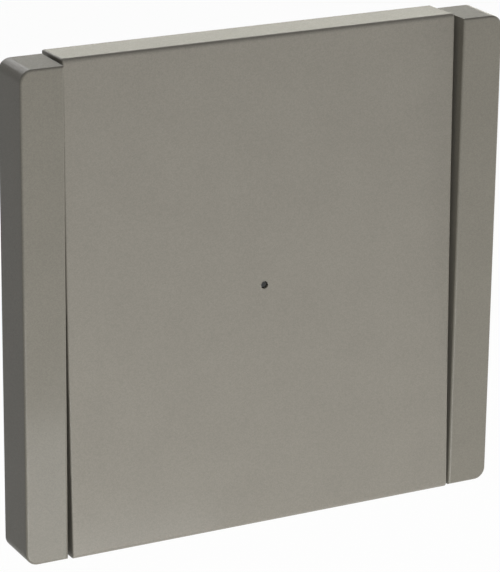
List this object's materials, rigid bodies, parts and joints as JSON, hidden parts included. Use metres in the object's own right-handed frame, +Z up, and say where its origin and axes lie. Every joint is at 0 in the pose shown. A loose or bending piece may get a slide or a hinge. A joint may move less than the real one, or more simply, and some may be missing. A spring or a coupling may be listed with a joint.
{
  "type": "rocker light switch",
  "caption": "Flush wall switch with a full-height dished rocker between two side strips, a small centre lens and a screw-fixed insert behind.",
  "frame": {"origin": "centre of the four wall screws, on the wall plane at the support ring's back", "axes": "+X to the right seen from the room, +Z up, +Y into the wall"},
  "size_m": [0.085, 0.035, 0.0818],
  "materials": {
    "frame_lacquer": "satin warm grey lacquer",
    "ring_steel": "zinc plated",
    "clip_steel": "spring steel",
    "screw_steel": "zinc plated",
    "housing_plastic": "moulded",
    "cover_plastic": "moulded",
    "cap_plastic": "moulded",
    "rail_copper": "bare copper",
    "contact_silver": "silver alloy",
    "board_green": "coated board",
    "lamp_clear": "clear",
    "rocker_lacquer": "satin warm grey lacquer",
    "lens_clear": "clear",
    "cradle_plastic": "moulded",
    "pin_steel": "ground steel",
    "spring_steel": "spring steel",
    "plunger_plastic": "moulded",
    "lever_copper": "bare copper",
    "leaf_steel": "spring steel",
    "button_plastic": "moulded"
  },
  "bodies": {
    "frame_and_insert": {"frame": "frame_lacquer", "support_ring": "ring_steel", "frame_clips": "clip_steel", "ring_screws": "screw_steel", "insert_housing": "housing_plastic", "insert_cover": "cover_plastic", "rear_cap": "cap_plastic", "common_rail": "rail_copper", "upper_rail": "rail_copper", "lower_rail": "rail_copper", "upper_fixed_contact": "contact_silver", "lower_fixed_contact": "contact_silver", "lamp_board": "board_green", "pilot_lamp": "lamp_clear", "upper_terminal_spring": "leaf_steel", "lower_terminal_spring": "leaf_steel", "common_terminal_spring": "leaf_steel"},
    "rocker": {"rocker_cover": "rocker_lacquer", "light_lens": "lens_clear", "rocker_cradle": "cradle_plastic", "pivot_pins": "pin_steel", "toggle_spring": "spring_steel", "plunger": "plunger_plastic"},
    "lever": {"contact_lever": "lever_copper", "upper_moving_contact": "contact_silver", "lower_moving_contact": "contact_silver"},
    "upper_button": {"upper_release_button": "button_plastic"},
    "lower_button": {"lower_release_button": "button_plastic"},
    "common_button": {"common_release_button": "button_plastic"}
  },
  "joints": [
    {"name": "rocker_tilt", "type": "hinge", "parent": "frame_and_insert", "child": "rocker", "pos_m": [0, -0.0023, 0], "axis": [1, 0, 0], "range_deg": [0, 3.4]},
    {"name": "lever_tilt", "type": "hinge", "parent": "frame_and_insert", "child": "lever", "pos_m": [0.008, 0.0114, 0], "axis": [1, 0, 0], "range_deg": [-11.9, 0]},
    {"name": "upper_button_press", "type": "slide", "parent": "frame_and_insert", "child": "upper_button", "axis": [0, -1, 0], "range_m": [0, 0.0012], "stiffness_N_per_m": 800},
    {"name": "lower_button_press", "type": "slide", "parent": "frame_and_insert", "child": "lower_button", "axis": [0, -1, 0], "range_m": [0, 0.0012], "stiffness_N_per_m": 800},
    {"name": "common_button_press", "type": "slide", "parent": "frame_and_insert", "child": "common_button", "axis": [0, -1, 0], "range_m": [0, 0.0012], "stiffness_N_per_m": 800}
  ],
  "couplings": [
    {"joint": "lever_tilt", "follows": "rocker_tilt", "ratio": -3.5}
  ]
}
